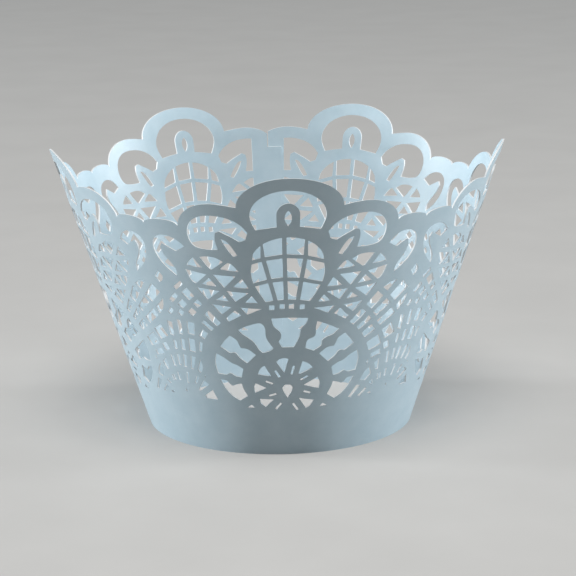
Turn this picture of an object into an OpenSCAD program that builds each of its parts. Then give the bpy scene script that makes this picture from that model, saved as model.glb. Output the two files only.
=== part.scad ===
// Lace-cut card wrapper that stands round a cupcake.
// One flat sheet of card, scalloped and pierced, rolled into an open cone and lapped at the back.
// The lace is drawn flat: x runs along the sheet from the axis of a big arch, y runs up from the
// bottom edge. A drawn point is laid on the cone in proportion to the repeat and to the height.

/* [Cone] */
// Outer diameter at the bottom edge
base_d = 50; // [44:0.5:60]
// Outer diameter at the height of the highest scallops
top_d = 84.8; // [76:0.5:96]
// Height to the top of the highest scallops
height = 53.9; // [46:0.1:62]
// Thickness of the card
card_t = 0.3; // [0.2:0.05:0.6]
// Flat facets that stand for the round wall
wall_facets = 61; // [49:6:73]

/* [Sheet] */
// Big arches along the sheet
big_arches = 5; // [4:1:5]
// Turn of the front big arch to the right of straight ahead
front_turn = 2.6; // [-10:0.1:10]
// Turn from the last big arch to the seam
seam_turn = 25.4; // [24:0.1:27]
// Turn of the seam flap behind the other end of the sheet
lap_turn = 4; // [3:0.5:5]
// Plain margin between the seam flap and the lace
seam_margin = 0.8; // [0.4:0.1:1.5]

/* [Wheel] */
// Height of the wheel's centre on the flat sheet
wheel_y = 16; // [15.8:0.05:16.2]
// Radius from the wheel's centre to the inner ends of its windows
wheel_inner = 8.2; // [7.8:0.1:8.5]
// Radius from the wheel's centre to the outer ends of its windows
wheel_outer = 13.6; // [13:0.1:13.8]
// Width of the wheel's spokes
spoke_w = 1.6; // [1.2:0.1:1.9]
// Radius of the knob on each spoke
knob_r = 1.3; // [1:0.05:1.5]
// Radius at which the knobs sit
knob_at = 10.2; // [9.8:0.1:10.6]
// Height of the hub's centre on the flat sheet
hub_y = 14.6; // [14.4:0.05:14.8]
// Radius of the hub's ring of petals
petal_outer = 5.8; // [5.5:0.1:6.1]
// Radius of the petals' points
petal_inner = 3.3; // [2.9:0.1:3.6]

/* [Globe] */
// Half width of the globe at its widest
globe_a = 6.45; // [6:0.05:6.6]
// Height of the globe's widest line on the flat sheet
globe_y = 40; // [39.8:0.05:40.2]
// Rise of the globe's crown above its widest line
globe_b = 5.3; // [5:0.05:5.5]
// Half width of the globe at its foot
globe_foot = 3.1; // [2.9:0.05:3.4]
// Width of the bars in the globe
globe_bar = 0.75; // [0.6:0.05:1]

/* [Arches] */
// Half width of the big arch
big_a = 9.3; // [9:0.05:9.5]
// Rise of the big arch above its valley
big_b = 6; // [5.9:0.05:6.3]
// Half width of the big arch's window
window_a = 6.6; // [6.2:0.05:7]
// Rise of the big arch's window
window_b = 4.95; // [4.6:0.05:5.2]
// Half width of the loop in the big arch's window
loop_a = 2.05; // [1.8:0.05:2.3]
// Rise of the loop in the big arch's window
loop_b = 2.3; // [2:0.05:2.5]
// Reach of the middle arch from its crown to its valley
middle_a = 7.3; // [7:0.05:7.6]
// Rise of the middle arch above its outer valley
middle_b = 5.5; // [5.3:0.05:5.7]
// Reach of a small arch from its crown to the fan's axis
small_a = 3.25; // [3.1:0.05:3.4]
// Rise of a small arch above the notch on the fan's axis
small_b = 1.05; // [0.8:0.05:1.3]

/* [Hidden] */

// Flat radius of the bottom edge of the drawn sheet
drawn_r = 81.4;
// Sine of the drawn cone's half angle
drawn_sine = 0.3072;
// Turn between two big arches of the drawn sheet
drawn_pitch = 77.3;
// Flat height of the drawn sheet
drawn_h = 56.65;
// Height of the big arch's valleys
big_valley = 50.75;
// Shift of the big arch to the right of its axis
big_shift = 0.35;
// Place of the middle arch's crown
middle_crown = [12.8, 51];
// How much nearer the left middle arch's crown is, how much shorter its reach, and how much longer the
// reach of the small arch beyond it
left_near = 0.2;
left_short = 0.45;
left_long = 0.25;
// Ease all round each cell of the fans
cell_ease = 0.1;
// Turn of the fan's axis from the big arch, on the flat sheet
fan_turn = drawn_pitch / 2 * drawn_sine;
// Flat radius of the notch between two small arches, which lies on the fan's axis
small_notch = 128.25;
// Flat radius of the eye between two hooks, and how far it lies to the right of the fan's axis
eye_r = 117.6;
eye_x = 0.35;
// Height of the window sill in the big arch
sill_y = 47.3;

base_r = base_d / 2;
slope = (top_d - base_d) / 2 / height;
half_angle = atan(slope);
pitch = (360 - 2 * seam_turn) / (big_arches - 1);
seam_az = front_turn + 180;
first_az = seam_az - 360 + seam_turn;
// Depth of the cutters outside and inside the card
cut_out = 0.9;
cut_in = 1.5;
// Turn of one step of the seam flap, and of the slit between the sheet's ends
seam_step = 2.15;
slit_turn = 0.5;
// Depth to which the glued flap and the wall share their faces
bond = 0.05;
// Height of the seam flap as a share of the wall
flap_share = 0.84;
// Smallest piece of a trimmed hole that is still cut, in square millimetres
least_hole = 0.7;

// Place on the outside of the cone
function on_cone(az, z) = [
    (base_r + z * slope) * sin(az),
    -(base_r + z * slope) * cos(az),
    z
];

// Turn and height of a drawn point, from the axis of its big arch
function turn_of(p) = atan2(p.x, p.y + drawn_r) / drawn_sine * pitch / drawn_pitch;
function rise_of(p) = (norm([p.x, p.y + drawn_r]) - drawn_r) / drawn_h * height;

// Area of an outline
function area(o) = let (n = len(o))
    abs([for (i = [0:n - 1]) o[i].x * o[(i + 1) % n].y - o[(i + 1) % n].x * o[i].y]
        * [for (i = [0:n - 1]) 0.5]);

// Part of an outline on this side of the line at a turn from the axis, side 1 right or -1 left
function trim(o, side, turn) = let (
        a = turn * drawn_sine,
        d = [for (p = o) sin(a) * (p.y + drawn_r) - side * cos(a) * p.x],
        n = len(o)
    ) [for (i = [0:n - 1]) let (j = (i + 1) % n)
        each concat(
            d[i] >= 0 ? [o[i]] : [],
            d[i] * d[j] < 0 ? [o[i] + (o[j] - o[i]) * d[i] / (d[i] - d[j])] : [])];

// The same outlines on the other side of the axis
function flip(outlines) = [for (o = outlines) [for (p = o) [-p.x, p.y]]];

// Outline in the big arch's frame from one drawn about the fan's axis at its flat radius
function on_fan(r, x) = [
    r * sin(fan_turn) + x * cos(fan_turn),
    r * cos(fan_turn) - x * sin(fan_turn) - drawn_r
];

function ellipse_arc(c, a, b, from, to, steps) =
    [for (i = [0:steps]) let (t = from + (to - from) * i / steps) c + [a * cos(t), b * sin(t)]];

// Windows of the wheel, between spokes that lean a little
function wheel_at(r, a, side = 0) = [r * cos(a) - side * sin(a), wheel_y + r * sin(a) + side * cos(a)];
// The rim draws in towards the bottom, and a little at the top
function rim_r(a) = a > 13 ? wheel_outer - 0.7 * pow(sin(a), 3) : wheel_outer - 0.082 * (13 - a);
// The hub's edge is nearer at the top
function hub_r(a) = wheel_inner - pow(sin(a), 2);
// Spokes: turn at the hub, turn at the rim, share of the width at the hub and at the rim, and share of
// the knob on the low side and on the high side
spokes = [
    [-35, -35, 1, 1, 0, 0],
    [-3.2, -1.1, 0.8, 0.8, 1, 1],
    [20.3, 23.4, 0.9, 1.05, 0.8, 1.05],
    [47, 43.6, 0.65, 0.85, 1.1, 1.1],
    [73.4, 70.8, 1.2, 1.1, 1.05, 1.05],
    [105.5, 108, 1.3, 1.3, 1.1, 1.05]
];
// Knob: place along the spoke and half width, as shares of its radius
knob_form = [[-1, 0.45], [-0.8, 0.75], [-0.4, 0.97], [0.2, 1], [0.7, 0.8], [1, 0.5]];
function on_spoke(s, r, side) = let (share = (r - wheel_inner) / (wheel_outer - wheel_inner))
    wheel_at(r, s[0] + (s[1] - s[0]) * share, side);
function spoke_edge(s, side, knob) = concat(
    [on_spoke(s, hub_r(s[0]), side * s[2] * spoke_w / 2)],
    knob > 0 ? [for (k = knob_form)
        on_spoke(s, knob_at + k[0] * knob_r, side * max(s[3] * spoke_w / 2, k[1] * knob_r * knob))] : [],
    [on_spoke(s, rim_r(s[1]), side * s[3] * spoke_w / 2)]);
function window(low, high) = let (edge = spoke_edge(high, -1, high[4]))
    concat(
        spoke_edge(low, 1, low[5]),
        [for (q = [0.25, 0.5, 0.75]) let (a = low[1] + (high[1] - low[1]) * q) wheel_at(rim_r(a), a)],
        [for (i = [len(edge) - 1:-1:0]) edge[i]]);
side_windows = [for (i = [0:3]) window(spokes[i], spokes[i + 1])];
top_window = window(spokes[4], spokes[5]);
// On the left, the window beside the top one is wider, as its spoke is thinner
left_spokes = [[48.5, 44.8, 0.9, 1.25, 1.1, 1], [71.5, 69.6, 0.5, 0.15, 0.5, 1.05]];
left_windows = flip(concat(
    [for (i = [0:2]) side_windows[i]],
    [window(left_spokes[0], left_spokes[1])]));

// Petals of the hub: turn, how much farther out the point lies than usual, and half spread
petals = [
    [99.5, -0.15, 10.5], [52, -0.05, 12], [5.3, -0.4, 12.4], [-44, 0, 10.6], [-142, 0.2, 9.4],
    [-176, 0.4, 9.8], [143, 0.4, 10.2]
];
petal_bulge = 0.25;
function hub_at(r, a) = [r * cos(a), hub_y + r * sin(a)];
function petal(p) = [
    hub_at(petal_inner + p[1], p[0]),
    hub_at(petal_outer, p[0] - p[2]),
    hub_at(petal_outer + petal_bulge, p[0]),
    hub_at(petal_outer, p[0] + p[2])
];
drop = [[0, 12.5], [0.8, 13.8], [0.95, 14.5], [0.5, 15.15], [-0.5, 15.15], [-0.95, 14.5], [-0.8, 13.8]];
wheel = concat(
    [top_window, drop],
    side_windows,
    left_windows,
    [for (p = petals) petal(p)],
    [[[5.8, 9.95], [6.4, 10.55], [7.3, 9.75]], [[-5.8, 9.95], [-6.4, 10.55], [-7.3, 9.75]]]);

// Globe above the wheel
globe_rows = [41.6, 37, 32.5];
globe_droop = 0.036;
foot_y = 31;
function globe_side(y) = y > globe_y
    ? globe_a * sqrt(max(0, 1 - pow((y - globe_y) / globe_b, 2)))
    : globe_foot + (globe_a - globe_foot) * pow(abs(sin(90 * (y - foot_y) / (globe_y - foot_y))), 1.3);
function globe_top(x) = globe_y + globe_b * sqrt(max(0, 1 - pow(x / globe_a, 2)));
// The three bars that run up the globe, as x at the foot and how far they lean by the top of the bars
bar_foot = [-1.7, -0.3, 1.45];
bar_lean = [-2.9, -0.35, 1.75];
bar_rise = 12;
function meridian(k, y) = k == 0 ? -globe_side(y)
    : k == 4 ? globe_side(y)
    : bar_foot[k - 1] + bar_lean[k - 1] * (y - foot_y) / bar_rise;
function left_of(k, y) = meridian(k, y) + (k == 0 ? 0 : globe_bar / 2);
function right_of(k, y) = meridian(k, y) - (k == 4 ? 0 : globe_bar / 2);
function on_row(x, y) = [x, y - globe_droop * x * x];
function globe_cell(k, y0, y1) = [
    on_row(left_of(k, y0), y0),
    on_row(right_of(k + 1, y0), y0),
    on_row(right_of(k + 1, (y0 + y1) / 2), (y0 + y1) / 2),
    on_row(right_of(k + 1, y1), y1),
    on_row(left_of(k, y1), y1),
    on_row(left_of(k, (y0 + y1) / 2), (y0 + y1) / 2)
];
function crown_cell(k, y0, y1) = let (x0 = left_of(k, y1), x1 = right_of(k + 1, y1)) [
    on_row(left_of(k, y0), y0),
    on_row(right_of(k + 1, y0), y0),
    [x1, globe_top(x1)],
    [(x0 + x1) / 2, globe_top((x0 + x1) / 2)],
    [x0, globe_top(x0)]
];
shoulder_y = globe_rows[0] + globe_bar / 2;
crown_y = 43.5;
left_shoulder = let (x = right_of(1, shoulder_y), w = globe_side(shoulder_y - 0.6), m = (x - w) / 2)
    [on_row(x, shoulder_y), [x, globe_top(x)], [m, globe_top(m)], on_row(-w, shoulder_y)];
right_shoulder = let (x = left_of(3, shoulder_y), w = globe_side(shoulder_y - 1), m = (x + w) / 2 + 0.3)
    [on_row(x, shoulder_y), on_row(w, shoulder_y), [0.9 * w, globe_top(0.9 * w)], [m, globe_top(m)],
     [x, globe_top(x)]];
// Small squares at the foot: their places, half width and height
square_x = [-2.8, -1, 0.6, 2.5];
square_a = 0.45;
square_h = 1;
function foot_square(x) = let (y = foot_y - globe_droop * x * x)
    [[x - square_a, y], [x + square_a, y], [x + square_a, y + square_h], [x - square_a, y + square_h]];
globe = concat(
    [for (k = [1, 2]) crown_cell(k, shoulder_y, crown_y)],
    [left_shoulder, right_shoulder],
    [for (k = [0:3], j = [0, 1])
        globe_cell(k, globe_rows[j + 1] + globe_bar / 2, globe_rows[j] - globe_bar / 2)],
    [for (x = square_x) foot_square(x)]);

// Window of the big arch, with its loop and the loop's eye
big_window = concat(
    [[5.6, 46.6]],
    ellipse_arc([0, 49.4], window_a, window_b, 0, 180, 12),
    [[-5.6, 46.6], [-loop_a + 0.1, sill_y]],
    ellipse_arc([0, 49.6], loop_a, loop_b, 180, 0, 6),
    [[loop_a - 0.1, sill_y]]);
loop_eye = [[0, 47.6], [0.6, 48.6], [0.6, 49.6], [0, 50.4], [-0.6, 49.6], [-0.6, 48.6]];

// Bean, slit, star and the small lattice under the middle arch
middle = [
    [[6.95, 46], [7.9, 47.2], [9.3, 48.1], [11, 48.65], [13, 48.75], [15, 48.5], [16.7, 47.5], [17.6, 46.1],
     [17.8, 44.6], [17.35, 43], [16.4, 41.95], [14.4, 41.8], [12.15, 42.05], [12.75, 44], [12.6, 45.5],
     [11.9, 45.8], [9.8, 44.9], [8.4, 44.1], [7.4, 44.5]],
    [[11.5, 44.2], [10.7, 44.1], [8.8, 41.5], [9.5, 41.15]],
    [[11.3, 39.8], [13.35, 37.95], [13.8, 38], [15.6, 40.1], [12.65, 40.5]],
    [[15.15, 37.95], [18, 38], [16.8, 39.75]],
    [[8.5, 38.1], [11.8, 38.2], [10.5, 39.7], [9.8, 39.6]],
    [[9.1, 37.15], [11.15, 34.6], [13.2, 36.95]],
    [[14.35, 36.75], [16.35, 34.5], [17.25, 34.85], [18.3, 37]],
    [[12.5, 34.6], [15.25, 34.55], [13.9, 36.15]],
    [[6.8, 34.9], [9.6, 34.85], [7.95, 36.75]],
    [[6.8, 34], [9.15, 32], [10.8, 34]],
    [[12, 33.8], [14.2, 31.65], [16.3, 33.75]],
    [[5.2, 32], [7.5, 31.95], [6.3, 33.45]],
    [[10.3, 31.85], [12.7, 31.8], [11.25, 33.1]],
    [[4.5, 30.9], [7.1, 29.6], [8.4, 30.9]],
    [[9.9, 30.8], [11.7, 29], [13.6, 30.85]],
    [[8.2, 29.3], [10.4, 27.75], [10.9, 28.25], [9.25, 30.2]]
];

// Hook on each side of the fan's axis, and the eye between the hooks
right_hook = [
    [18.5, 41.3], [19.5, 42.35], [20.9, 42.95], [22.6, 42.8], [24.1, 41.8], [24.5, 40.4], [24.1, 38.6],
    [23, 36.9], [19.7, 34.95], [19.9, 36.2], [22.2, 38.6], [22.6, 39.9], [22.3, 41], [20, 40.1]
];
left_hook = [
    [-18.4, 41.6], [-19.7, 42.55], [-21.4, 43], [-23.2, 42.75], [-24.4, 41.8], [-24.85, 40.4], [-24.3, 38.7],
    [-23.2, 37.2], [-20.1, 35.15], [-20, 36.4], [-22.6, 39], [-23.2, 40.2], [-22.8, 41.05], [-20, 40.2]
];
fan_eye = [for (p = [[-0.9, 0], [-0.1, -1.2], [0.7, -0.7], [0.9, 0.2], [0.1, 1.2]])
    on_fan(eye_r + p[1], eye_x + p[0])];

// Cells that ring the wheel: inner radius, outer radius, and the two angles seen from its centre
function ring_cell(c) = let (
        r0 = c[0] - cell_ease,
        r1 = c[1] + cell_ease,
        turn = asin(cell_ease / c[0])
    ) [
        wheel_at(r0, c[2] - turn), wheel_at(r1, c[2] - turn), wheel_at(r1, c[3] + turn),
        wheel_at(r0, c[3] + turn)
    ];
right_rings = [
    [15.9, 17.8, 7, 10], [15.7, 18.2, 14, 20.5], [15.8, 18, 26, 30.3], [15.8, 18.6, 34.3, 36.8],
    [15.7, 18.7, 40.7, 44], [18.8, 19.8, 8.8, 12.7], [19.3, 21.4, 15.8, 22], [19.3, 22.7, 26.2, 29.8],
    [19.7, 23, 33.4, 36.4], [19.9, 22.9, 39.5, 43.6], [24, 27.3, 32.3, 36.4]
];
left_rings = [
    [16.4, 19.3, 137, 140.2], [16.5, 18.6, 143.8, 145.8], [16.7, 17.7, 149.6, 154.5], [21.1, 22.1, 137, 140],
    [20.7, 21.7, 143, 146.1], [23.1, 24.9, 137, 140.3], [22.9, 24, 143.2, 146.6], [22.3, 23.1, 148.3, 150.6],
    [26, 26.6, 137.1, 141.4], [25, 25.7, 143.6, 148], [24.1, 24.7, 151.4, 154]
];
// Slots that fan out between two wheels: foot, head, and the widths there
function slot(s) = let (foot = s[4] / 2 + cell_ease, head = s[5] / 2 + cell_ease)
    [[s[0] - foot, s[1]], [s[0] + foot, s[1]], [s[2] + head, s[3]], [s[2] - head, s[3]]];
fan_slots = [
    [-17.6, 23.4, -17.7, 26, 1.1, 1.4], [-19.7, 22.8, -20.15, 25.75, 0.6, 0.7],
    [-21.65, 21.9, -22.15, 24.75, 0.7, 0.9], [-17.45, 19.7, -17.65, 22.4, 1.1, 1.1],
    [-19.35, 19.5, -19.55, 21.8, 0.5, 0.7], [-21, 19.1, -21.25, 20.95, 0.4, 0.5],
    [-17.7, 15.8, -17.45, 18.6, 0.3, 0.9], [-19.15, 15.8, -19.2, 18.45, 0.4, 0.6],
    [-20.25, 15.8, -20.65, 18, 0.4, 0.4], [-21.4, 15.1, -22.1, 17.3, 0.4, 0.45]
];
right_fan = [
    [[11.2, 10.7], [11.8, 10.5], [13.7, 12.6], [12.9, 12.9]],
    [[13.1, 10.4], [13.6, 10.2], [15.1, 11.3], [14.8, 11.8]],
    [[13.6, 13.8], [14.6, 13.3], [15.9, 14.4], [15.5, 16.1], [14.2, 15.1]],
    [[15.4, 12.6], [16, 11.9], [16.4, 12], [16.2, 13.1]],
    [[16.4, 16.6], [16.8, 14.9], [17.4, 14.9], [17.6, 17.2]],
    [[17.6, 32.4], [18.6, 31.3], [20.7, 33.1], [18.8, 33]],
    [[20.7, 27.7], [21, 26.3], [22.6, 27.5], [23.3, 29.3]]
];
left_fan = [
    [[-15.3, 10.7], [-14.9, 10.2], [-12.7, 10.5], [-13.7, 12.4]],
    [[-16.6, 11.5], [-16.2, 11.4], [-14.4, 13.4], [-15.5, 14]],
    [[-16.6, 15.9], [-16, 15.5], [-15.4, 16.8], [-16, 18.5]]
];

lace = concat(
    wheel, globe, [big_window, loop_eye], middle, flip(middle), [right_hook, left_hook, fan_eye],
    [for (c = concat(right_rings, left_rings)) ring_cell(c)],
    [for (s = fan_slots) slot(s)], right_fan, left_fan);

// Sky over the scallops, from the crown of one arch to the crown of the next
sky_y = 62;
sky_lap = 1;
function crown_of(side) = middle_crown - [side < 0 ? left_near : 0, 0];
function big_to_middle(side) = let (c = crown_of(side))
    concat(
        [[-1.5, sky_y], [-1.5, big_valley + big_b]],
        ellipse_arc([side * big_shift, big_valley], big_a, big_b, 90, 0, 8),
        [c - [1.6, 0.05], c, c + [sky_lap, 0.02], [c.x + sky_lap, sky_y]]);
function middle_to_small(side) = let (
        c = crown_of(side),
        a = middle_a - (side < 0 ? left_short : 0),
        small = small_a + (side < 0 ? left_long : 0)
    ) concat(
        [[c.x - sky_lap, sky_y], c - [sky_lap, 0]],
        ellipse_arc(c - [0, middle_b], a, middle_b, 90, 0, 6),
        [for (t = [145, 118, 90, 60, 30, 0]) on_fan(small_notch + small_b * sin(t), small * (cos(t) - 1))],
        [on_fan(small_notch, 0.15), on_fan(small_notch + small_b, 0.6), on_fan(drawn_r + sky_y, sky_lap)]);
sky = concat(
    [big_to_middle(1), middle_to_small(1)],
    flip([big_to_middle(-1), middle_to_small(-1)]));

// Strip of card that bends round the cone, from stations of turn and inset
module strip(stations, rise) {
    n = len(stations);
    inset = card_t / cos(half_angle);
    function ring_point(s, depth, z) = let (r = base_r + z * slope - s[1] - depth)
        [r * sin(s[0]), -r * cos(s[0]), z];
    points = [for (s = stations) each [
        ring_point(s, 0, 0), ring_point(s, 0, rise), ring_point(s, inset, rise), ring_point(s, inset, 0)]];
    sides = [for (i = [0:n - 2], k = [0:3])
        [4 * i + k, 4 * i + (k + 1) % 4, 4 * i + 4 + (k + 1) % 4, 4 * i + 4 + k]];
    polyhedron(points, concat([[3, 2, 1, 0]], sides, [[4 * n - 4, 4 * n - 3, 4 * n - 2, 4 * n - 1]]));
}

// Cut through the card, square to it, at the middle of an outline
module pierce(outline, arch_az) {
    spots = [for (p = outline) on_cone(arch_az + turn_of(p), rise_of(p))];
    flat_middle = [for (p = outline) 1] * outline / len(outline);
    az = arch_az + turn_of(flat_middle);
    middle_spot = on_cone(az, rise_of(flat_middle));
    across = [cos(az), sin(az), 0];
    up = [sin(az) * sin(half_angle), -cos(az) * sin(half_angle), cos(half_angle)];
    translate(middle_spot) rotate([0, 0, az]) rotate([90 + half_angle, 0, 0]) translate([0, 0, -cut_in])
        linear_extrude(cut_in + cut_out)
            polygon([for (p = spots) [(p - middle_spot) * across, (p - middle_spot) * up]]);
}

// Lace of one big arch, trimmed where its side meets the seam
module lace_panel(k) {
    arch_az = first_az + k * pitch;
    keep = (seam_turn - lap_turn - seam_margin) * drawn_pitch / pitch;
    seam = seam_turn * drawn_pitch / pitch;
    for (o = lace) {
        hole = k == 0 ? trim(o, -1, keep) : k == big_arches - 1 ? trim(o, 1, keep) : o;
        if (len(hole) > 2 && area(hole) > least_hole) pierce(hole, arch_az);
    }
    for (o = sky) {
        piece = k == 0 ? trim(o, -1, seam) : k == big_arches - 1 ? trim(o, 1, seam) : o;
        if (len(piece) > 2) pierce(piece, arch_az);
    }
}

// The whole sheet: wall with its lace, and the flap that is glued behind the other end
module wrapper() color("lightblue") {
    facets = wall_facets - 4;
    facet = (360 - 4 * seam_step) / facets;
    wall_stations = concat(
        [[slit_turn / 2, 0], [seam_step, 0]],
        [for (i = [0:facets]) [2 * seam_step + i * facet, 0]],
        [[360 - seam_step, 0], [360 - slit_turn / 2, 0]]);
    flap_inset = card_t / cos(half_angle) - bond;
    flap_stations = [
        [-lap_turn, flap_inset], [-seam_step * 0.9, flap_inset], [0, flap_inset / 2], [seam_step * 0.7, bond]
    ];
    difference() {
        strip([for (s = wall_stations) [seam_az + s[0], s[1]]], height);
        for (k = [0:big_arches - 1]) lace_panel(k);
    }
    strip([for (s = flap_stations) [seam_az + s[0], s[1]]], height * flap_share);
}

wrapper();
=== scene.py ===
"""A lace-cut card wrapper that stands round a cupcake, in pearl card, on a plain pale floor.

The lace is drawn flat in millimetres: x runs along the sheet from the axis of a big arch, y runs up from
the bottom edge. The drawn sheet is then triangulated, laid on the cone and given its thickness.
"""
import math

import bpy
from mathutils import Matrix, Vector
from mathutils.geometry import delaunay_2d_cdt
from mathutils.kdtree import KDTree


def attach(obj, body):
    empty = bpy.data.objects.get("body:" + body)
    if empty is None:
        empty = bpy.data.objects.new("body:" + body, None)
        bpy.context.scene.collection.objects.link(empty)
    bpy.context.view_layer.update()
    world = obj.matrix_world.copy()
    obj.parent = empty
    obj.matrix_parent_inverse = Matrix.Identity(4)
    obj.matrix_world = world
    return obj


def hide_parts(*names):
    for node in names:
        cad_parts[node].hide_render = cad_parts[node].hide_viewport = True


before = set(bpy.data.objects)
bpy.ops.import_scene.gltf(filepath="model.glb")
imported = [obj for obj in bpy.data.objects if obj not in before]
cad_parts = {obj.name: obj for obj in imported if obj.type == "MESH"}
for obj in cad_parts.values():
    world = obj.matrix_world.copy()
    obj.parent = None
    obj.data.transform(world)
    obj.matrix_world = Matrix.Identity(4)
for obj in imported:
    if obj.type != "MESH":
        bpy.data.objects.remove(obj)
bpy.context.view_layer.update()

MM = 0.001

# Cone, in millimetres
BASE_R = 25.0
SLOPE = 0.3228
HEIGHT = 53.9
CARD = 0.3
SKIN_IN = 0.065  # keeps the round skin within the faceted wall
FRONT_TURN = 2.6
ARCHES = 5
PITCH = 77.3
LAP_TURN = 4.0
SEAM_MARGIN = 0.8
SLIT_TURN = 0.3
FLAP_REACH = 1.4
FLAP_SHARE = 0.84

# Flat sheet
SINE = math.sin(math.atan(SLOPE))
FLAT_R = BASE_R / SINE
FLAT_H = 56.65
BIG_VALLEY = 50.75
GRID = 1.45
EDGE_STEP = 0.9
BOTTOM_STEPS = 240
GRID_CLEAR = 0.4  # of the grid, kept free beside an outline
CELL_EASE = 0.1  # what the card hides of a cell seen askew
LEAST_HOLE = 0.12  # square millimetres

# Bends of the outlines: gentle ones become curves over this share of each side, sharp ones are eased
GENTLE = math.radians(47)
BEND_SHARE = 0.45
BEND_STEPS = (0, 0.35, 0.65, 1)
CORNER = 0.1

# Lap at the seam
CARD_ACROSS = CARD / math.cos(math.atan(SLOPE))
LAP_GAP = 0.02
LAP_STEPS = (-0.1, 0.15, 0.4, 0.65, 0.9, 1.15)  # of its reach


def cosd(a):
    return math.cos(math.radians(a))


def sind(a):
    return math.sin(math.radians(a))


def flip(outlines):
    return [[(-x, y) for x, y in o] for o in outlines]


def ellipse_arc(centre, a, b, start, end, steps):
    turns = [start + (end - start) * i / steps for i in range(steps + 1)]
    return [(centre[0] + a * cosd(t), centre[1] + b * sind(t)) for t in turns]


def turned(outline, turn):
    """An outline turned about the flat sheet's centre, clockwise, by a turn about the cone's axis."""
    c, s = cosd(turn * SINE), sind(turn * SINE)
    return [(x * c + (y + FLAT_R) * s, (y + FLAT_R) * c - x * s - FLAT_R) for x, y in outline]


def on_fan(radius, x):
    """A point at a flat radius, and x to the right of the axis halfway between two big arches."""
    return turned([(x, radius - FLAT_R)], PITCH / 2)[0]


# Wheel: its windows, and the hub with its drop, petals and slits. Of the four windows on the right, all but
# the first are repeated on the left, where LEFT_WINDOW takes the first one's place.
WHEEL_Y = 16.0
TOP_WINDOW = [
    (-2.9, 29.0), (0.4, 29.25), (3.6, 28.9), (3.2, 27.6), (2.35, 27.0), (2.2, 26.0), (2.1, 25.1),
    (1.1, 23.05), (-1.0, 23.05), (-1.65, 24.2), (-1.2, 24.85), (-1.1, 25.8), (-1.6, 26.6), (-2.55, 27.3),
]
SIDE_WINDOWS = [
    [(5.2, 28.1), (7.3, 27.1), (9.25, 25.8), (8.0, 24.8), (6.9, 24.6), (6.1, 24.0), (6.0, 22.9),
     (4.6, 22.0), (3.1, 22.7), (3.3, 24.1), (3.7, 24.6), (4.6, 24.8), (5.0, 25.4), (4.9, 26.8)],
    [(10.3, 24.8), (11.3, 23.6), (12.1, 22.2), (10.2, 21.1), (9.6, 21.4), (9.1, 21.25), (8.6, 20.4),
     (7.2, 19.4), (5.6, 21.3), (7.1, 22.5), (8.3, 22.45), (8.75, 23.3), (9.0, 24.1)],
    [(12.9, 20.6), (13.2, 18.6), (12.6, 16.35), (11.0, 16.3), (10.5, 16.8), (10.1, 16.85), (9.3, 16.3),
     (8.2, 16.25), (7.9, 18.1), (9.0, 18.8), (10.0, 19.0), (11.4, 20.0)],
    [(12.3, 15.15), (10.9, 15.1), (10.3, 14.4), (9.8, 14.2), (9.2, 14.6), (8.2, 14.95), (7.9, 13.8),
     (7.1, 12.4), (8.5, 11.2), (9.9, 11.9), (11.3, 13.4)],
]
LEFT_WINDOW = [
    (-5.05, 28.05), (-4.4, 27.8), (-3.9, 26.8), (-3.95, 25.7), (-3.75, 24.8), (-3.2, 23.8), (-2.5, 22.85),
    (-2.9, 22.3), (-4.4, 21.8), (-5.15, 22.5), (-5.6, 23.45), (-6.15, 24.15), (-7.2, 24.9), (-7.9, 25.3),
    (-8.8, 26.2), (-7.2, 27.25),
]
DROP = [(0, 12.35), (0.75, 13.7), (0.95, 14.5), (0.5, 15.15), (-0.5, 15.15), (-0.95, 14.5), (-0.75, 13.7)]
PETALS = [
    [(-2.05, 20.0), (-1.5, 20.6), (-0.6, 20.85), (0.15, 20.6), (-0.6, 17.7)],
    [(1.9, 17.2), (4.5, 18.4), (3.7, 19.5), (2.6, 20.0)],
    [(2.8, 14.9), (5.6, 13.9), (5.9, 15.1), (5.35, 16.4)],
    [(2.0, 12.2), (4.8, 11.5), (4.1, 10.3), (3.3, 9.9)],
    [(-2.4, 12.0), (-4.95, 12.0), (-4.8, 11.0), (-3.9, 10.3)],
    [(-3.7, 14.4), (-5.8, 13.2), (-6.05, 14.5), (-5.7, 15.3)],
    [(-4.1, 19.1), (-4.9, 18.5), (-5.3, 17.2), (-2.9, 16.9)],
]
HUB_SLITS = [
    (0.7, 17.3, 1.1, 19.1), (2.3, 16.0, 3.6, 16.75), (2.85, 13.55, 4.1, 13.1), (0.95, 11.1, 1.85, 9.6),
    (-1.1, 11.2, -2.1, 9.9), (-2.0, 13.2, -3.3, 12.7), (-2.6, 15.3, -3.9, 15.8), (-1.4, 16.7, -2.25, 18.15),
]
HUB_SLIT_W = 0.42
FOOT_TRIANGLE = [(5.8, 9.95), (6.4, 10.6), (7.3, 9.8)]


def wheel_at(radius, angle):
    return (radius * cosd(angle), WHEEL_Y + radius * sind(angle))


def slit(x0, y0, x1, y1, width):
    """A straight slit of one width between two points."""
    length = math.hypot(x1 - x0, y1 - y0)
    sx, sy = -(y1 - y0) / length * width / 2, (x1 - x0) / length * width / 2
    return [(x0 + sx, y0 + sy), (x0 - sx, y0 - sy), (x1 - sx, y1 - sy), (x1 + sx, y1 + sy)]


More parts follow.
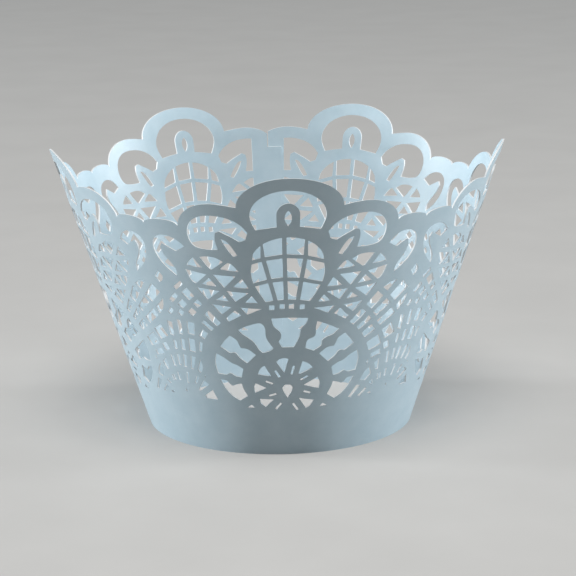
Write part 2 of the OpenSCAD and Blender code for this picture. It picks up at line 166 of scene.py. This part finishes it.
# Globe above the wheel
GLOBE_A = 6.45
GLOBE_B = 5.3
GLOBE_Y = 40.0
GLOBE_FOOT_Y = 31.0
GLOBE_FOOT = 3.1
GLOBE_SWELL = 1.3
GLOBE_BAR = 0.75
GLOBE_DROOP = 0.036
GLOBE_ROWS = (41.6, 37.0, 32.5)
CROWN_Y = 43.5
SQUARES = (-2.8, -1.0, 0.6, 2.5)
SQUARE_A = 0.45
SQUARE_H = 1.0
BAR_RISE = 12.0
BARS = ((-1.7, -2.9), (-0.3, -0.35), (1.45, 1.75))  # x at the foot, and how far it moves over BAR_RISE
CROWN_SHARES = (0, 0.25, 0.5, 0.75, 1)
SHOULDER_SHARES = (0.92, 0.75, 0.5, 0.25, 0)  # stops short of the side, so that the corner is blunt
LEFT_DIP, RIGHT_DIP = 0.4, 0.8  # below the shoulder's foot, where its width is taken


def globe_side(y):
    if y > GLOBE_Y:
        return GLOBE_A * math.sqrt(max(0.0, 1 - ((y - GLOBE_Y) / GLOBE_B) ** 2))
    rise = sind(90 * (y - GLOBE_FOOT_Y) / (GLOBE_Y - GLOBE_FOOT_Y))
    return GLOBE_FOOT + (GLOBE_A - GLOBE_FOOT) * abs(rise) ** GLOBE_SWELL


def globe_top(x):
    return GLOBE_Y + GLOBE_B * math.sqrt(max(0.0, 1 - (x / GLOBE_A) ** 2))


def globe_bar(k, y):
    """Middle of the bar k at a height, where 0 and 4 are the globe's two sides."""
    if k in (0, 4):
        return globe_side(y) * (-1 if k == 0 else 1)
    foot, lean = BARS[k - 1]
    return foot + lean * (y - GLOBE_FOOT_Y) / BAR_RISE


def right_of_bar(k, y):
    return globe_bar(k, y) + (0 if k == 0 else GLOBE_BAR / 2)


def left_of_bar(k, y):
    return globe_bar(k, y) - (0 if k == 4 else GLOBE_BAR / 2)


def on_row(x, y):
    return (x, y - GLOBE_DROOP * x * x)


def globe_cell(k, low, high):
    heights = [low, (2 * low + high) / 3, (low + 2 * high) / 3, high]
    right = [on_row(left_of_bar(k + 1, y), y) for y in heights]
    left = [on_row(right_of_bar(k, y), y) for y in heights]
    return right + left[::-1]


def crown_cell(k, low, high):
    """A cell between two bars, under the globe's round top."""
    x0, x1 = right_of_bar(k, high), left_of_bar(k + 1, high)
    tops = [x1 + (x0 - x1) * q for q in CROWN_SHARES]
    return [on_row(right_of_bar(k, low), low), on_row(left_of_bar(k + 1, low), low)] + [
        (x, globe_top(x)) for x in tops]


def shoulder(bar_x, side_x, low):
    """The last cell on one side, between a bar and the globe's round top."""
    tops = [bar_x + (side_x - bar_x) * q for q in SHOULDER_SHARES]
    return [on_row(bar_x, low), on_row(side_x, low)] + [(x, globe_top(x)) for x in tops]


def globe_cells():
    """Every hole of the globe, and the four small squares at its foot."""
    low = GLOBE_ROWS[0] + GLOBE_BAR / 2
    cells = [crown_cell(k, low, CROWN_Y) for k in (1, 2)]
    cells.append(shoulder(left_of_bar(1, low), -globe_side(low - LEFT_DIP), low)[::-1])
    cells.append(shoulder(right_of_bar(3, low), globe_side(low - RIGHT_DIP), low))
    for k in range(4):
        for j in range(2):
            cells.append(globe_cell(k, GLOBE_ROWS[j + 1] + GLOBE_BAR / 2, GLOBE_ROWS[j] - GLOBE_BAR / 2))
    for x in SQUARES:
        left, right, foot = x - SQUARE_A, x + SQUARE_A, on_row(x, GLOBE_FOOT_Y)[1]
        cells.append([(left, foot), (right, foot), (right, foot + SQUARE_H), (left, foot + SQUARE_H)])
    return cells


# Arches: rises, the middle arch's crown, and reaches on the right (1) and on the left (-1)
BIG_B = 5.88
BIG_REACH = {1: 9.65, -1: 8.95}
MIDDLE_Y, MIDDLE_B = 51.0, 5.5
MIDDLE_X = {1: 12.8, -1: 12.6}
MIDDLE_A = {1: 7.3, -1: 6.85}
MIDDLE_LEAD = (1.6, 0.05)  # how far back and down from its crown the middle arch begins
SMALL_NOTCH, SMALL_B = 128.25, 1.05
SMALL_A = {1: 3.25, -1: 3.5}
SMALL_TURNS = range(152, -1, -19)  # round the small arch, from its notch to the fan's axis

# Window of the big arch, with the loop that stands in it and the loop's eye
WINDOW_Y, WINDOW_A, WINDOW_B = 49.4, 6.6, 4.95
WINDOW_DIP = 6  # degrees that its arc runs below its middle, on each side
LOOP_Y, LOOP_A, LOOP_B = 49.6, 2.05, 2.3
BIG_WINDOW = (
    [(5.6, 46.6), (6.25, 47.9)]
    + ellipse_arc((0, WINDOW_Y), WINDOW_A, WINDOW_B, -WINDOW_DIP, 180 + WINDOW_DIP, 18)
    + [(-6.25, 47.9), (-5.6, 46.6), (-3.8, 47.0), (-1.95, 47.3)]
    + ellipse_arc((0, LOOP_Y), LOOP_A, LOOP_B, 180, 0, 10) + [(1.95, 47.3), (3.8, 47.0)]
)
LOOP_EYE = [(0, 47.5), (0.35, 48.0), (0.6, 48.7), (0.6, 49.5), (0.35, 50.1), (0, 50.5),
            (-0.35, 50.1), (-0.6, 49.5), (-0.6, 48.7), (-0.35, 48.0)]

# Under the middle arch: bean, leaf, and the lattice with its star
BEAN = [
    (6.95, 46.0), (7.9, 47.2), (9.3, 48.1), (11.0, 48.65), (13.0, 48.75), (15.0, 48.45), (16.7, 47.5),
    (17.6, 46.1), (17.8, 44.6), (17.35, 43.0), (16.4, 41.95), (14.4, 41.8), (12.15, 42.05),
    (12.75, 44.0), (12.65, 45.4), (11.9, 45.8), (9.8, 44.9), (8.4, 44.1), (7.35, 44.55),
]
LEAF = [
    (11.65, 44.3), (11.0, 44.25), (10.2, 43.55), (9.3, 42.3), (8.75, 41.35), (9.45, 41.05), (10.25, 42.0),
    (11.1, 43.3),
]
LATTICE = [
    [(11.3, 39.8), (13.35, 37.95), (13.8, 38.0), (15.6, 40.1), (14.2, 40.5), (12.65, 40.5)],
    [(15.15, 37.95), (17.95, 37.85), (17.95, 38.35), (16.8, 39.75)],
    [(8.5, 38.1), (11.8, 38.2), (11.75, 38.45), (10.5, 39.7), (9.8, 39.6)],
    [(9.1, 37.15), (11.15, 34.6), (13.2, 36.95)],
    [(14.35, 36.75), (16.35, 34.5), (17.25, 34.85), (18.3, 37.0)],
    [(12.5, 34.6), (15.25, 34.55), (13.9, 36.15)],
    [(6.8, 34.9), (9.6, 34.85), (7.95, 36.75)],
    [(6.8, 34.0), (9.15, 32.0), (10.8, 34.0)],
    [(12.0, 33.8), (14.2, 31.65), (16.3, 33.75)],
    [(5.2, 32.0), (7.5, 31.95), (6.3, 33.45)],
    [(10.3, 31.85), (12.7, 31.8), (11.25, 33.1)],
    [(4.5, 30.9), (7.1, 29.55), (8.4, 30.9)],
    [(9.9, 30.8), (11.7, 29.0), (13.6, 30.85)],
    [(8.15, 29.3), (10.4, 27.7), (10.95, 28.25), (9.3, 30.2)],
]
# Hook on each side of the fan's axis, and the eye between the hooks
RIGHT_HOOK = [
    (18.45, 41.3), (19.5, 42.35), (20.9, 42.95), (22.6, 42.8), (24.1, 41.8), (24.55, 40.4), (24.15, 38.6),
    (23.0, 36.9), (21.4, 35.8), (19.65, 34.9), (19.9, 36.2), (21.1, 37.4), (22.2, 38.6), (22.65, 39.9),
    (22.3, 41.0), (20.0, 40.1),
]
LEFT_HOOK = [
    (-18.35, 41.6), (-19.7, 42.55), (-21.4, 43.0), (-23.2, 42.75), (-24.4, 41.8), (-24.85, 40.4),
    (-24.3, 38.7), (-23.2, 37.2), (-21.8, 36.1), (-20.0, 35.1), (-20.0, 36.4), (-21.3, 37.8), (-22.6, 39.0),
    (-23.2, 40.2), (-22.8, 41.05), (-20.0, 40.2),
]
FAN_EYE = [
    on_fan(radius, x)
    for x, radius in [(-0.55, 117.6), (0.25, 116.4), (1.05, 116.9), (1.25, 117.8), (0.45, 118.8)]
]

# Cells that ring the wheel: inner radius, outer radius, and the two angles seen from its centre
RIGHT_RINGS = [
    (15.9, 17.8, 7, 10), (15.7, 18.2, 14, 20.5), (15.8, 18, 26, 30.3), (15.8, 18.6, 34.3, 36.8),
    (15.7, 18.7, 40.7, 44), (18.8, 19.8, 8.8, 12.7), (19.3, 21.4, 15.8, 22), (19.3, 22.7, 26.2, 29.8),
    (19.7, 23, 33.4, 36.4), (19.9, 22.9, 39.5, 43.6), (24, 27.3, 32.3, 36.4),
]
LEFT_RINGS = [
    (16.4, 19.3, 137, 140.2), (16.5, 18.6, 143.8, 145.8), (16.7, 17.7, 149.6, 154.5),
    (21.1, 22.1, 137, 140), (20.7, 21.7, 143, 146.1), (23.1, 24.9, 137, 140.3), (22.9, 24, 143.2, 146.6),
    (22.3, 23.1, 148.3, 150.6), (26, 26.6, 137.1, 141.4), (25, 25.7, 143.6, 148), (24.1, 24.7, 151.4, 154),
]
# Slots that fan out between two wheels: foot, head, and the widths there
FAN_SLOTS = [
    (-17.6, 23.4, -17.7, 26, 1.1, 1.4), (-19.7, 22.8, -20.15, 25.75, 0.6, 0.7),
    (-21.65, 21.9, -22.15, 24.75, 0.7, 0.9), (-17.45, 19.7, -17.65, 22.4, 1.1, 1.1),
    (-19.35, 19.5, -19.55, 21.8, 0.5, 0.7), (-21, 19.1, -21.25, 20.95, 0.4, 0.5),
    (-17.7, 15.8, -17.45, 18.6, 0.3, 0.9), (-19.15, 15.8, -19.2, 18.45, 0.4, 0.6),
    (-20.25, 15.8, -20.65, 18, 0.4, 0.4), (-21.4, 15.1, -22.1, 17.3, 0.4, 0.45),
    (-17.1, 12.85, -16.6, 14.55, 0.26, 0.4), (-18.7, 12.35, -18.75, 14.75, 0.26, 0.32),
    (-20.5, 12.3, -20.9, 13.95, 0.26, 0.32), (-21.5, 11.9, -21.9, 13, 0.3, 0.36),
    (-15.85, 20.2, -15.75, 22.2, 0.26, 0.5),
]
# Cells and dots at the feet of the fans
RIGHT_FAN = [
    [(11.2, 10.7), (11.8, 10.5), (13.7, 12.6), (12.9, 12.9)],
    [(13.1, 10.4), (13.6, 10.2), (15.1, 11.3), (14.8, 11.8)],
    [(13.6, 13.8), (14.6, 13.3), (15.9, 14.4), (15.5, 16.1), (14.2, 15.1)],
    [(15.4, 12.6), (16.0, 11.9), (16.4, 12.0), (16.2, 13.1)],
    [(16.4, 16.6), (16.8, 14.9), (17.4, 14.9), (17.6, 17.2)],
    [(17.6, 32.4), (18.6, 31.3), (20.7, 33.1), (18.8, 33.0)],
    [(20.7, 27.7), (21.0, 26.3), (22.6, 27.5), (23.3, 29.3)],
    [(14.7, 17.2), (14.95, 16.8), (15.2, 17.3), (15.0, 17.9)],
    [(15.25, 10.35), (15.7, 9.95), (16.2, 10.05), (15.9, 10.45)],
    [(17.2, 13.8), (17.2, 12.5), (17.55, 12.6), (17.5, 13.8)],
    [(19.2, 10.5), (19.5, 10.15), (19.8, 10.5), (19.5, 10.85)],
]
LEFT_FAN = [
    [(-15.3, 10.7), (-14.9, 10.2), (-12.7, 10.5), (-13.7, 12.4)],
    [(-16.6, 11.5), (-16.2, 11.4), (-14.4, 13.4), (-15.5, 14.0)],
    [(-16.6, 15.9), (-16.0, 15.5), (-15.4, 16.8), (-16.0, 18.5)],
    [(-15.3, 15.1), (-15.05, 14.85), (-14.8, 15.1), (-15.05, 15.35)],
    [(-17.25, 10.4), (-17.05, 10.2), (-16.8, 10.4), (-17.05, 10.7)],
    [(-20.2, 14.2), (-20.0, 14.0), (-19.75, 14.3), (-20.0, 14.5)],
]


def ring_cell(inner, outer, low, high):
    more = math.degrees(CELL_EASE / inner)
    inner, outer, low, high = inner - CELL_EASE, outer + CELL_EASE, low - more, high + more
    return [wheel_at(inner, low), wheel_at(outer, low), wheel_at(outer, high), wheel_at(inner, high)]


def tapered_slot(x0, y0, x1, y1, foot, head):
    foot, head = foot / 2 + CELL_EASE, head / 2 + CELL_EASE
    return [(x0 - foot, y0), (x0 + foot, y0), (x1 + head, y1), (x1 - head, y1)]


def soft(outline):
    """The outline with its gentle bends drawn as curves and its sharp corners eased."""
    points, made = [Vector(p) for p in outline], []
    for i, point in enumerate(points):
        before, after = points[i - 1], points[(i + 1) % len(points)]
        gentle = (point - before).angle(after - point) < GENTLE
        reach = [(other - point).length * BEND_SHARE for other in (before, after)]
        if not gentle:
            reach = [min(r, CORNER) for r in reach]
        start, end = (point + (other - point).normalized() * r for other, r in zip((before, after), reach))
        for t in BEND_STEPS:
            made.append(tuple(start * (1 - t) ** 2 + point * 2 * t * (1 - t) + end * t * t))
    return made


def lace():
    """Every hole of one repeat."""
    mirrored = SIDE_WINDOWS[1:] + [BEAN, LEAF, FOOT_TRIANGLE] + LATTICE
    holes = [TOP_WINDOW, SIDE_WINDOWS[0], LEFT_WINDOW, DROP, BIG_WINDOW, LOOP_EYE]
    holes += [RIGHT_HOOK, LEFT_HOOK, FAN_EYE]
    holes += mirrored + flip(mirrored) + PETALS + globe_cells()
    holes += [slit(*s, HUB_SLIT_W) for s in HUB_SLITS] + [ring_cell(*c) for c in RIGHT_RINGS + LEFT_RINGS]
    return holes + [tapered_slot(*s) for s in FAN_SLOTS] + RIGHT_FAN + LEFT_FAN


def scallops(side):
    """The top edge from a big arch's crown out to the fan's axis, on the right (1) or the left (-1)."""
    big = ellipse_arc((0, BIG_VALLEY), BIG_REACH[side], BIG_B, 90, 0, 22)
    lead = (MIDDLE_X[side] - MIDDLE_LEAD[0], MIDDLE_Y - MIDDLE_LEAD[1])
    middle = ellipse_arc((MIDDLE_X[side], MIDDLE_Y - MIDDLE_B), MIDDLE_A[side], MIDDLE_B, 90, 0, 14)
    small = [on_fan(SMALL_NOTCH + SMALL_B * sind(t), SMALL_A[side] * (cosd(t) - 1)) for t in SMALL_TURNS]
    return [(side * x, y) for x, y in big + [lead] + middle + small]


def top_edge():
    """The scallops of one repeat, from one fan's axis to the next."""
    return scallops(-1)[:0:-1] + scallops(1)


def circle_turn(point):
    """Turn of a flat point about the cone's axis, from the front arch."""
    return math.degrees(math.atan2(point[0], point[1] + FLAT_R)) / SINE


def flat_point(turn, rise):
    """The flat point at a turn about the cone's axis and a rise above the bottom edge."""
    radius = FLAT_R + rise
    return (radius * sind(turn * SINE), radius * cosd(turn * SINE) - FLAT_R)


def trim(outline, limit, side):
    """The part of an outline on one side of the radial line at a turn: side 1 keeps the left part."""
    c, s = cosd(limit * SINE), sind(limit * SINE)
    clear = [side * (s * (y + FLAT_R) - c * x) for x, y in outline]
    made, count = [], len(outline)
    for i in range(count):
        j = (i + 1) % count
        if clear[i] >= 0:
            made.append(outline[i])
        if clear[i] * clear[j] < 0:
            t = clear[i] / (clear[i] - clear[j])
            made.append(tuple(a + (b - a) * t for a, b in zip(outline[i], outline[j])))
    return made


def area(outline):
    """Area of an outline, more than zero if it runs anticlockwise."""
    return sum(x0 * y1 - x1 * y0 for (x0, y0), (x1, y1) in zip(outline, outline[1:] + outline[:1])) / 2


def all_holes():
    """The lace of every arch, trimmed where it would meet the seam."""
    pattern, keep = lace(), 180 - LAP_TURN - SEAM_MARGIN
    made = []
    for k in range(ARCHES):
        for outline in pattern:
            hole = turned(outline, (k - (ARCHES - 1) / 2) * PITCH)
            hole = trim(trim(hole, keep, 1), -keep, -1)
            if len(hole) > 2 and abs(area(hole)) > LEAST_HOLE:
                made.append(soft(hole))
    return made


def within(path, limit):
    """The stretch of a path between two turns, plus and minus limit, ending on them."""
    made = []
    for p, q in zip(path, path[1:]):
        a, b = circle_turn(p), circle_turn(q)
        if abs(a) < limit:
            made.append(p)
        if (abs(a) < limit) != (abs(b) < limit):
            t = (math.copysign(limit, a) - a) / (b - a)
            made.append((p[0] + (q[0] - p[0]) * t, p[1] + (q[1] - p[1]) * t))
    return made


def sheet_outline():
    """The whole sheet, with its flap at the left end and its scallops along the top."""
    end, flap_end, flap_top = 180 - SLIT_TURN / 2, -180 - LAP_TURN, FLAT_H * FLAP_SHARE
    turns = [flap_end + (end - flap_end) * i / BOTTOM_STEPS for i in range(BOTTOM_STEPS + 1)]
    top = []
    for k in range(ARCHES):
        top += turned(top_edge(), (k - (ARCHES - 1) / 2) * PITCH)[:-1]
    flap = [flat_point(-end, flap_top), flat_point(flap_end, flap_top)]
    return [flat_point(t, 0) for t in turns] + within(top, end)[::-1] + flap


def stepped(outline):
    """The outline with long sides cut into steps."""
    made = []
    for (x0, y0), (x1, y1) in zip(outline, outline[1:] + outline[:1]):
        steps = max(1, math.ceil(math.hypot(x1 - x0, y1 - y0) / EDGE_STEP))
        made += [(x0 + (x1 - x0) * i / steps, y0 + (y1 - y0) * i / steps) for i in range(steps)]
    return made if area(outline) > 0 else made[::-1]


def grid_points(edge_points):
    """Points that fill the sheet, clear of its outlines, so that it bends smoothly."""
    tree = KDTree(len(edge_points))
    for i, p in enumerate(edge_points):
        tree.insert((*p, 0), i)
    tree.balance()
    made = []
    rows = int(FLAT_H / GRID)
    for i in range(rows):
        rise = FLAT_H * (i + 0.5) / rows
        step = math.degrees(GRID / (FLAT_R + rise)) / SINE
        count = int(2 * (180 + LAP_TURN) / step)
        turns = [-180 - LAP_TURN + (j + 0.5 * (i % 2)) * step for j in range(count)]
        turns += [-180 + FLAP_REACH * q for q in LAP_STEPS]
        for t in turns:
            p = flat_point(t, rise)
            if tree.find((*p, 0))[2] > GRID_CLEAR * GRID:
                made.append(p)
    return made


def flat_triangles():
    """The sheet's flat points and its triangles, anticlockwise, with the holes left out."""
    points, loops = [], []
    for outline in [sheet_outline()] + all_holes():
        loop = stepped(outline)
        loops.append(list(range(len(points), len(points) + len(loop))))
        points += loop
    points += grid_points(points)
    inside_only, merge_below = 1, 1e-5
    found = delaunay_2d_cdt([Vector(p) for p in points], [], loops, inside_only, merge_below)
    flat, triangles, origins = found[0], found[2], found[5]
    return flat, [t for t, held_by in zip(triangles, origins) if list(held_by) == [0]]


def lap_depth(turn):
    """How far the sheet steps in behind its other end."""
    t = min(1.0, max(0.0, (-180 + FLAP_REACH - turn) / FLAP_REACH))
    return (CARD_ACROSS + LAP_GAP) * t * t * (3 - 2 * t)


def on_cone(point, depth):
    """The place in space of a flat point, at a depth behind the outer face."""
    turn, rise = circle_turn(point), math.hypot(point[0], point[1] + FLAT_R) - FLAT_R
    az, z = FRONT_TURN + turn, max(0.0, rise * HEIGHT / FLAT_H)
    radius = BASE_R + z * SLOPE - SKIN_IN - lap_depth(turn) - depth
    return Vector((radius * sind(az), -radius * cosd(az), z)) * MM


def cone_normal(co):
    around = Vector((co.x, co.y, 0)).normalized()
    return (around - Vector((0, 0, SLOPE))).normalized()


def card_sheet():
    """The sheet with its thickness: outer skin, inner skin and cut edges, each with its own normals."""
    flat, triangles = flat_triangles()
    used = sorted({i for t in triangles for i in t})
    place = {v: i for i, v in enumerate(used)}
    count = len(used)
    outer = [on_cone(flat[v], 0) for v in used]
    inner = [on_cone(flat[v], CARD_ACROSS) for v in used]
    skins = [[place[v] for v in t] for t in triangles]
    directed = {(t[i], t[(i + 1) % 3]) for t in skins for i in range(3)}
    rims = [(b, a, a + count, b + count) for a, b in directed if (b, a) not in directed]
    rims.sort()
    faces = skins + [[v + count for v in reversed(t)] for t in skins] + [list(r) for r in rims]
    mesh = bpy.data.meshes.new("wrapper_sheet")
    mesh.from_pydata(outer + inner, [], faces)
    normals = []
    for face in mesh.polygons:
        face.use_smooth = True
        side = face.index // len(skins)
        for v in face.vertices:
            toward = cone_normal(mesh.vertices[v].co)
            normals.append((toward, -toward)[side] if side < 2 else face.normal.copy())
        # the cut edges take the second material, painted lighter than the card as a painted highlight
        face.material_index = 1 if side > 1 else 0
    mesh.validate()
    mesh.normals_split_custom_set(normals)
    sheet = bpy.data.objects.new("wrapper_sheet", mesh)
    bpy.context.scene.collection.objects.link(sheet)
    return sheet


def node(tree, kind, **values):
    made = tree.nodes.new(kind)
    for name, value in values.items():
        if name in made.inputs:
            made.inputs[name].default_value = value
        else:
            setattr(made, name, value)
    return made


def srgb(r, g, b):
    """A linear colour from one written as 0 to 255."""
    return tuple(((c / 255 + 0.055) / 1.055) ** 2.4 for c in (r, g, b)) + (1.0,)


def ramp(tree, fac, stops):
    made = tree.nodes.new("ShaderNodeValToRGB")
    while len(made.color_ramp.elements) < len(stops):
        made.color_ramp.elements.new(0.5)
    for element, (position, colour) in zip(made.color_ramp.elements, stops):
        element.position, element.color = position, colour
    tree.links.new(fac, made.inputs["Fac"])
    return made.outputs["Color"]


def card_material(name, dark, light, roughness):
    """Pearl card: a faint cloudiness, fine fibres that catch the light, and a soft sheen."""
    material = bpy.data.materials.new(name)
    material.use_nodes = True
    tree = material.node_tree
    shader = tree.nodes["Principled BSDF"]
    place = node(tree, "ShaderNodeTexCoord")
    clouds = node(tree, "ShaderNodeTexNoise", Scale=260.0, Detail=6.0, Roughness=0.6)
    fibres = node(tree, "ShaderNodeTexNoise", Scale=5200.0, Detail=3.0, Roughness=0.7, Distortion=1.5)
    flecks = node(tree, "ShaderNodeTexVoronoi", Scale=7000.0)
    for texture in (clouds, fibres, flecks):
        tree.links.new(place.outputs["Object"], texture.inputs["Vector"])
    colour = ramp(tree, clouds.outputs["Fac"], [(0.3, dark), (0.7, light)])
    tree.links.new(colour, shader.inputs["Base Color"])
    smoother = 0.16
    glint, plain = (roughness - smoother,) * 3 + (1.0,), (roughness,) * 3 + (1.0,)
    rough = ramp(tree, flecks.outputs["Distance"], [(0.1, glint), (0.6, plain)])
    tree.links.new(rough, shader.inputs["Roughness"])
    bump = node(tree, "ShaderNodeBump", Strength=0.25, Distance=0.00003)
    tree.links.new(fibres.outputs["Fac"], bump.inputs["Height"])
    tree.links.new(bump.outputs["Normal"], shader.inputs["Normal"])
    shader.inputs["Specular IOR Level"].default_value = 0.6
    shader.inputs["Sheen Weight"].default_value = 0.12
    shader.inputs["Sheen Roughness"].default_value = 0.4
    shader.inputs["Coat Weight"].default_value = 0.18
    shader.inputs["Coat Roughness"].default_value = 0.35
    return material


def pale_floor():
    """A floor that looks pale to the camera but throws little light up at the card."""
    size = 3.0
    mesh = bpy.data.meshes.new("floor")
    corners = [(-size, -size, 0), (size, -size, 0), (size, size, 0), (-size, size, 0)]
    mesh.from_pydata(corners, [], [(0, 1, 2, 3)])
    floor = bpy.data.objects.new("floor", mesh)
    bpy.context.scene.collection.objects.link(floor)
    material = bpy.data.materials.new("floor")
    material.use_nodes = True
    tree = material.node_tree
    shader = tree.nodes["Principled BSDF"]
    place = node(tree, "ShaderNodeTexCoord")
    grain = node(tree, "ShaderNodeTexNoise", Scale=40.0, Detail=4.0)
    tree.links.new(place.outputs["Object"], grain.inputs["Vector"])
    tone = ramp(tree, grain.outputs["Fac"], [(0.3, srgb(154, 154, 153)), (0.7, srgb(160, 160, 159))])
    tree.links.new(tone, shader.inputs["Base Color"])
    shader.inputs["Roughness"].default_value = 0.8
    path = node(tree, "ShaderNodeLightPath")
    seen = path.outputs["Is Camera Ray"]
    for kind in ("Is Glossy Ray", "Is Transmission Ray"):
        either = node(tree, "ShaderNodeMath", operation="ADD")
        tree.links.new(seen, either.inputs[0])
        tree.links.new(path.outputs[kind], either.inputs[1])
        seen = either.outputs["Value"]
    tree.links.new(seen, shader.inputs["Emission Strength"])
    shader.inputs["Emission Color"].default_value = srgb(130, 130, 129)
    mesh.materials.append(material)


def area_light(name, place, target, size, power, colour):
    data = bpy.data.lights.new(name, "AREA")
    data.shape, data.size, data.energy, data.color = "DISK", size, power, colour
    light = bpy.data.objects.new(name, data)
    light.location = place
    light.rotation_euler = (Vector(target) - Vector(place)).to_track_quat("-Z", "Y").to_euler()
    bpy.context.scene.collection.objects.link(light)


def lights():
    centre, warm, cool = (0, 0, 0.03), (1.0, 0.97, 0.94), (0.93, 0.98, 1.0)
    area_light("top", (0.0, -0.31, 0.86), centre, 0.5, 7.1, warm)
    area_light("left", (-2.4, 0.34, 0.3), centre, 0.5, 55, cool)
    area_light("right", (2.4, 0.34, 0.3), centre, 0.5, 49, cool)
    world = bpy.data.worlds.new("studio")
    world.use_nodes = True
    world.node_tree.nodes["Background"].inputs["Color"].default_value = srgb(210, 224, 236)
    world.node_tree.nodes["Background"].inputs["Strength"].default_value = 0.04
    bpy.context.scene.world = world


def camera():
    """The photograph's place and angle, from points of the lace found in it."""
    focal_pixels, frame_pixels, sensor = 2118.0, 576, 36.0
    yaw, pitch, roll = map(math.radians, (0.2616, 13.65, 0.8118))
    data = bpy.data.cameras.new("camera")
    data.sensor_width, data.lens = sensor, focal_pixels / frame_pixels * sensor
    eye = bpy.data.objects.new("camera", data)
    aim = Matrix.Rotation(-yaw, 4, "Z") @ Matrix.Rotation(math.pi / 2 - pitch, 4, "X")
    place = Matrix.Translation((0, -0.38999, 0.11956))
    eye.matrix_world = place @ aim @ Matrix.Rotation(-roll, 4, "Z")
    bpy.context.scene.collection.objects.link(eye)
    bpy.context.scene.camera = eye


camera()
sheet = card_sheet()
sheet.data.materials.append(card_material("pearl_card", srgb(188, 211, 223), srgb(199, 219, 230), 0.5))
# cut edges: a near-white colour, lighter than the card, that is a painted highlight along every cut edge
sheet.data.materials.append(card_material("card_edge_painted_highlight", srgb(228, 234, 238), srgb(238, 242, 244), 0.6))
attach(sheet, "root")
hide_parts("wrapper")
pale_floor()
lights()
bpy.context.scene.view_settings.view_transform = "Standard"
